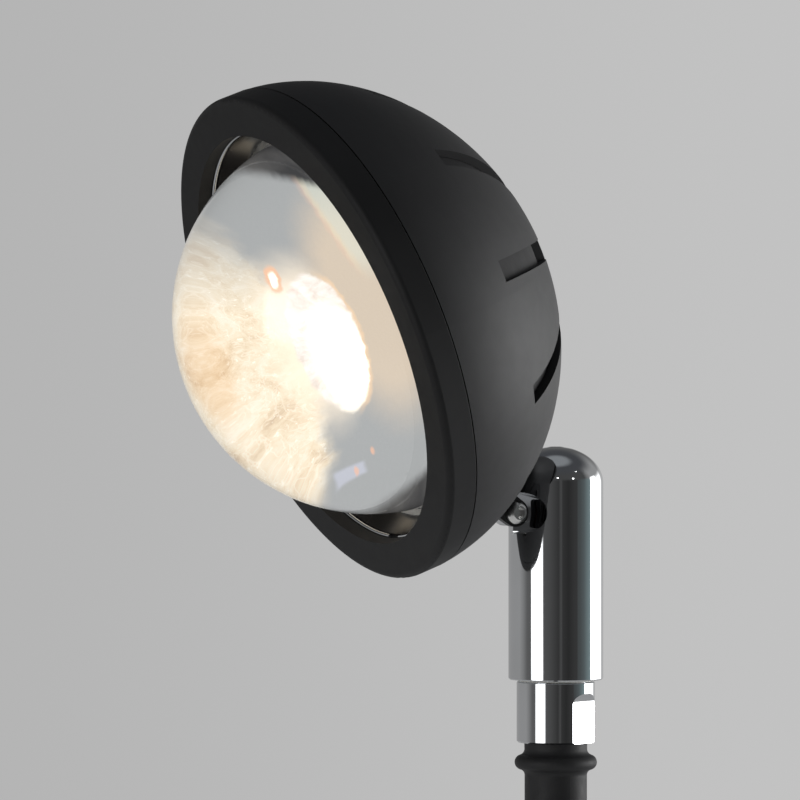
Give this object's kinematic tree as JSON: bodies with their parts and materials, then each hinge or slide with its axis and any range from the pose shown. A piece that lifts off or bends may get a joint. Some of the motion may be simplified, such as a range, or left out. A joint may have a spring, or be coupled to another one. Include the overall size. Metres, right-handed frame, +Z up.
{
  "type": "stem spotlight",
  "caption": "Small spotlight with a thick plano-convex lens in a slotted black bowl, on a chrome knuckle that tilts on a cross screw and turns on its stem.",
  "frame": {"origin": "on the stem's axis, at the shoulder above its mounting thread, where the sleeve ends", "axes": "+Z up the stem, -Y the way the lamp looks, X = 0 the plane that the head tilts in"},
  "size_m": [0.1006, 0.0894, 0.1918],
  "materials": {
    "satin_black": "satin",
    "chrome": "polished",
    "sleeve_black": "matte",
    "stem_steel": "satin",
    "nylon": "satin",
    "fibre": "matte",
    "brass": "satin",
    "rubber": "matte",
    "arm_black": "satin",
    "zinc_steel": "satin",
    "black_steel": "satin",
    "lens_glass": "gloss",
    "dark_ring": "gloss",
    "reflector": "polished",
    "ceramic": "matte",
    "lamp_glass": "gloss",
    "filament": "satin",
    "silicone": "matte",
    "lead_white": "satin"
  },
  "bodies": {
    "stem": {"stem_tube": "stem_steel", "stem_sleeve": "sleeve_black", "tube_edge_bush": "nylon", "spigot": "chrome", "swivel_washer": "nylon"},
    "knuckle": {"knuckle_body": "chrome", "swivel_bush": "brass", "swivel_screw": "black_steel", "inlet_grommet": "rubber", "pivot_screw": "chrome", "spring_washer": "zinc_steel", "friction_washer": "fibre"},
    "head": {"hinge_arm": "arm_black", "arm_screws": "black_steel", "bowl": "satin_black", "slot_liner": "black_steel", "lead_grommet": "rubber", "bezel": "satin_black", "lens": "lens_glass", "lens_gasket": "silicone", "lens_retaining_ring": "dark_ring", "lens_clip": "chrome", "reflector": "reflector", "heat_baffle": "black_steel", "lamp_holder": "ceramic", "holder_screws": "zinc_steel", "holder_nuts": "zinc_steel", "lamp_capsule": "lamp_glass", "lamp_filament": "filament", "lamp_pins": "zinc_steel", "lamp_leads": "lead_white"}
  },
  "joints": [
    {"name": "pan", "type": "hinge", "parent": "stem", "child": "knuckle", "pos_m": [0, 0, 0.0617], "axis": [0, 0, 1], "range_deg": [-158, 158]},
    {"name": "tilt", "type": "hinge", "parent": "knuckle", "child": "head", "pos_m": [0, -0.0099, 0.09515], "axis": [1, 0, 0], "range_deg": [-10, 58]}
  ]
}
